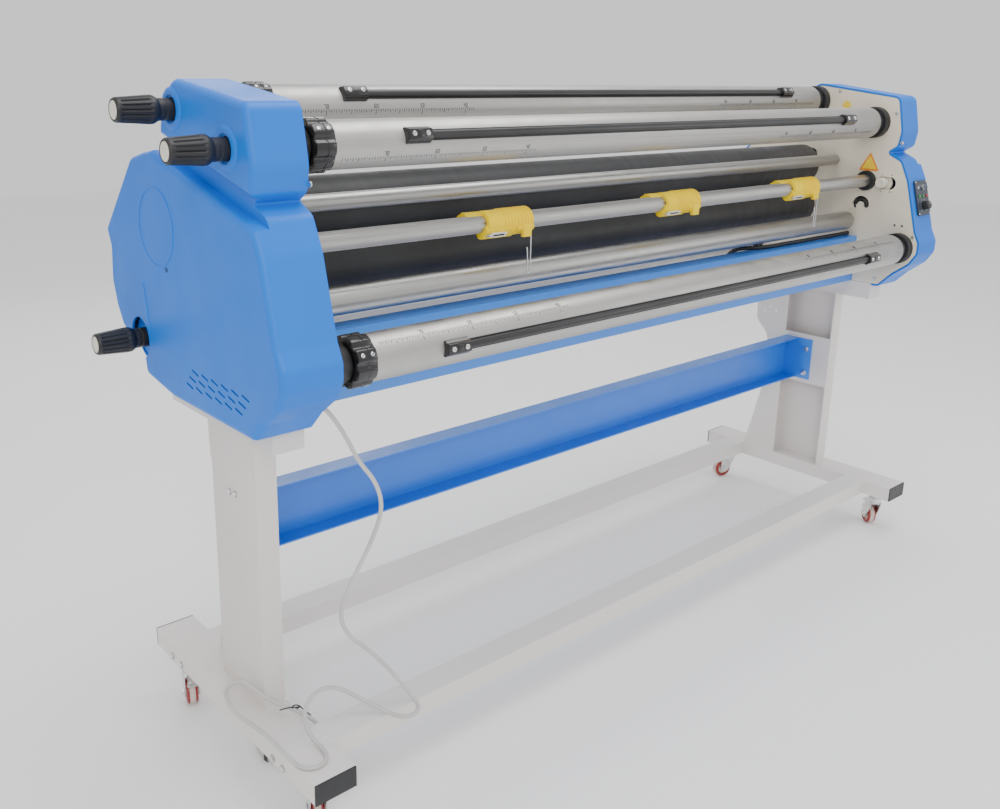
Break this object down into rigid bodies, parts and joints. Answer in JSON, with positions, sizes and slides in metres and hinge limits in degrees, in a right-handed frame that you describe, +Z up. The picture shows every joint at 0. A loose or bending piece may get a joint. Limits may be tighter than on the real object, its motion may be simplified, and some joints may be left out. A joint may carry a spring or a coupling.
{
  "type": "cold roll laminator",
  "caption": "Wide-format cold roll laminator on a castered stand: two rubber nip rollers, film shafts, idlers, sliding slitters, end covers and a control panel.",
  "frame": {"origin": "middle of the footprint, knobs included and the free cord left out, on the floor under the castors", "axes": "+X along the rollers, away from the brake knobs; +Y from the outfeed side to the infeed side; +Z up"},
  "size_m": [2.005, 0.6047, 1.1765],
  "materials": {
    "cream_paint": "satin powder coat, off-white",
    "blue_cover": "semi-gloss azure moulded cover",
    "blue_paint": "semi-gloss deep blue powder coat",
    "roller_rubber": "ground silicone rubber, dark grey",
    "satin_aluminium": "satin anodised",
    "steel": "turned steel",
    "zinc_steel": "bright zinc plate",
    "wheel_red": "dark red soft wheel",
    "black_plastic": "black moulded plastic",
    "black_gloss": "glossy black moulded knob",
    "black_metal": "black oxide and paint",
    "yellow_plastic": "yellow moulded clip",
    "panel_plastic": "dark grey control panel",
    "cord_pvc": "light grey mains cord",
    "wrap_black": "black spiral wrap"
  },
  "bodies": {
    "frame": {"caster_stems": "zinc_steel", "control_panel": "panel_plastic", "cord_coil": "cord_pvc", "cord_grip": "black_plastic", "cord_plug": "cord_pvc", "cord_tube": "cord_pvc", "cover_screws": "zinc_steel", "cross_channel": "blue_paint", "cutter_rod": "satin_aluminium", "drive_chain": "steel", "drive_motor": "black_metal", "end_cover_far": "blue_cover", "end_cover_near": "blue_cover", "foot_end_caps": "black_plastic", "foot_far": "cream_paint", "foot_near": "cream_paint", "frame_bolts": "zinc_steel", "front_stretcher": "cream_paint", "leg_far": "cream_paint", "leg_near": "cream_paint", "lift_cylinders": "satin_aluminium", "lower_bearing_blocks": "steel", "rear_stretcher": "cream_paint", "shaft_bearings": "black_metal", "side_plate_far": "cream_paint", "side_plate_near": "cream_paint", "upper_beam": "blue_paint", "wiring_loom": "wrap_black"},
    "fork_front_near": {"caster_fork_front_near": "zinc_steel"},
    "wheel_front_near": {"caster_wheel_front_near": "wheel_red"},
    "fork_front_far": {"caster_fork_front_far": "zinc_steel"},
    "wheel_front_far": {"caster_wheel_front_far": "wheel_red"},
    "fork_rear_near": {"caster_fork_rear_near": "zinc_steel"},
    "wheel_rear_near": {"caster_wheel_rear_near": "wheel_red"},
    "fork_rear_far": {"caster_fork_rear_far": "zinc_steel"},
    "wheel_rear_far": {"caster_wheel_rear_far": "wheel_red"},
    "carriage": {"upper_bearing_blocks": "steel"},
    "upper_roller": {"upper_roller": "roller_rubber"},
    "lower_roller": {"lower_roller": "roller_rubber"},
    "motor_sprocket": {"motor_sprocket": "steel"},
    "top_rear_shaft": {"top_rear_shaft": "satin_aluminium", "top_rear_grip": "black_plastic"},
    "top_front_shaft": {"top_front_shaft": "satin_aluminium", "top_front_grip": "black_plastic"},
    "take_up_shaft": {"take_up_shaft": "satin_aluminium", "take_up_grip": "black_plastic"},
    "low_rear_shaft": {"low_rear_shaft": "satin_aluminium", "low_rear_grip": "black_plastic"},
    "top_rear_brake_knob": {"top_rear_brake_knob": "black_gloss"},
    "top_front_brake_knob": {"top_front_brake_knob": "black_gloss"},
    "low_rear_brake_knob": {"low_rear_brake_knob": "black_gloss"},
    "upper_idler": {"upper_idler": "satin_aluminium"},
    "lower_idler": {"lower_idler": "satin_aluminium"},
    "slitter_1": {"slitter_1": "yellow_plastic"},
    "slitter_2": {"slitter_2": "yellow_plastic"},
    "slitter_3": {"slitter_3": "yellow_plastic"},
    "hairpin_1": {"hairpin_1": "steel"},
    "hairpin_3": {"hairpin_3": "steel"},
    "speed_knob": {"speed_knob": "black_plastic"},
    "direction_switch": {"direction_switch": "zinc_steel"}
  },
  "joints": [
    {"name": "swivel_front_near", "type": "hinge", "parent": "frame", "child": "fork_front_near", "pos_m": [-0.8614, -0.2436, 0.086], "axis": [0, 0, 1], "continuous": true},
    {"name": "roll_front_near", "type": "hinge", "parent": "fork_front_near", "child": "wheel_front_near", "pos_m": [-0.85126, -0.22185, 0.026], "axis": [-0.9063, 0.4226, 0], "continuous": true},
    {"name": "swivel_front_far", "type": "hinge", "parent": "frame", "child": "fork_front_far", "pos_m": [0.9404, -0.2436, 0.086], "axis": [0, 0, 1], "continuous": true},
    {"name": "roll_front_far", "type": "hinge", "parent": "fork_front_far", "child": "wheel_front_far", "pos_m": [0.95583, -0.22521, 0.026], "axis": [-0.766, 0.6428, 0], "continuous": true},
    {"name": "swivel_rear_near", "type": "hinge", "parent": "frame", "child": "fork_rear_near", "pos_m": [-0.8614, 0.2204, 0.086], "axis": [0, 0, 1], "continuous": true},
    {"name": "roll_rear_near", "type": "hinge", "parent": "fork_rear_near", "child": "wheel_rear_near", "pos_m": [-0.86961, 0.19785, 0.026], "axis": [0.9397, -0.342, 0], "continuous": true},
    {"name": "swivel_rear_far", "type": "hinge", "parent": "frame", "child": "fork_rear_far", "pos_m": [0.9404, 0.2204, 0.086], "axis": [0, 0, 1], "continuous": true},
    {"name": "roll_rear_far", "type": "hinge", "parent": "fork_rear_far", "child": "wheel_rear_far", "pos_m": [0.91785, 0.22861, 0.026], "axis": [-0.342, -0.9397, 0], "continuous": true},
    {"name": "lower_roller_spin", "type": "hinge", "parent": "frame", "child": "lower_roller", "pos_m": [0.0395, 0.0304, 0.86485], "axis": [1, 0, 0], "continuous": true},
    {"name": "roller_lift", "type": "slide", "parent": "frame", "child": "carriage", "axis": [0, 0, 1], "range_m": [0, 0.025]},
    {"name": "upper_roller_spin", "type": "hinge", "parent": "carriage", "child": "upper_roller", "pos_m": [0.0395, 0.0304, 0.96915], "axis": [1, 0, 0], "continuous": true},
    {"name": "motor_sprocket_spin", "type": "hinge", "parent": "frame", "child": "motor_sprocket", "pos_m": [-0.8715, -0.0316, 0.742], "axis": [1, 0, 0], "continuous": true},
    {"name": "top_rear_shaft_spin", "type": "hinge", "parent": "frame", "child": "top_rear_shaft", "pos_m": [0.0395, 0.0313, 1.132], "axis": [1, 0, 0], "continuous": true},
    {"name": "top_front_shaft_spin", "type": "hinge", "parent": "frame", "child": "top_front_shaft", "pos_m": [0.0395, -0.1354, 1.0827], "axis": [1, 0, 0], "continuous": true},
    {"name": "take_up_shaft_spin", "type": "hinge", "parent": "frame", "child": "take_up_shaft", "pos_m": [0.0395, -0.2328, 0.775], "axis": [1, 0, 0], "continuous": true},
    {"name": "low_rear_shaft_spin", "type": "hinge", "parent": "frame", "child": "low_rear_shaft", "pos_m": [0.0395, 0.1864, 0.748], "axis": [1, 0, 0], "continuous": true},
    {"name": "top_rear_brake_turn", "type": "hinge", "parent": "frame", "child": "top_rear_brake_knob", "pos_m": [-0.9365, 0.0313, 1.132], "axis": [1, 0, 0], "range_deg": [-360, 360]},
    {"name": "top_front_brake_turn", "type": "hinge", "parent": "frame", "child": "top_front_brake_knob", "pos_m": [-0.9365, -0.1354, 1.0827], "axis": [1, 0, 0], "range_deg": [-360, 360]},
    {"name": "low_rear_brake_turn", "type": "hinge", "parent": "frame", "child": "low_rear_brake_knob", "pos_m": [-0.9365, 0.1864, 0.748], "axis": [1, 0, 0], "range_deg": [-360, 360]},
    {"name": "upper_idler_spin", "type": "hinge", "parent": "frame", "child": "upper_idler", "pos_m": [0.0395, -0.0456, 0.985], "axis": [1, 0, 0], "continuous": true},
    {"name": "lower_idler_spin", "type": "hinge", "parent": "frame", "child": "lower_idler", "pos_m": [0.0395, -0.0946, 0.832], "axis": [1, 0, 0], "continuous": true},
    {"name": "slitter_1_slide", "type": "slide", "parent": "frame", "child": "slitter_1", "axis": [1, 0, 0], "range_m": [-0.33, 0.18]},
    {"name": "slitter_2_slide", "type": "slide", "parent": "frame", "child": "slitter_2", "axis": [1, 0, 0], "range_m": [-0.2, 0.19]},
    {"name": "slitter_3_slide", "type": "slide", "parent": "frame", "child": "slitter_3", "axis": [1, 0, 0], "range_m": [-0.17, 0.21]},
    {"name": "hairpin_1_swing", "type": "hinge", "parent": "slitter_1", "child": "hairpin_1", "pos_m": [-0.3355, -0.151, 0.9147], "axis": [1, 0, 0], "range_deg": [-80, 20]},
    {"name": "hairpin_3_swing", "type": "hinge", "parent": "slitter_3", "child": "hairpin_3", "pos_m": [0.6255, -0.151, 0.9147], "axis": [1, 0, 0], "range_deg": [-80, 20]},
    {"name": "speed_knob_turn", "type": "hinge", "parent": "frame", "child": "speed_knob", "pos_m": [0.9545, -0.26021, 0.88166], "axis": [0, -0.9664, 0.2572], "range_deg": [-135, 135]},
    {"name": "direction_switch_tilt", "type": "hinge", "parent": "frame", "child": "direction_switch", "pos_m": [0.9545, -0.24838, 0.92611], "axis": [1, 0, 0], "range_deg": [-15, 15]}
  ],
  "couplings": [
    {"joint": "upper_roller_spin", "follows": "lower_roller_spin", "ratio": -1},
    {"joint": "motor_sprocket_spin", "follows": "lower_roller_spin", "ratio": 2.3077}
  ]
}
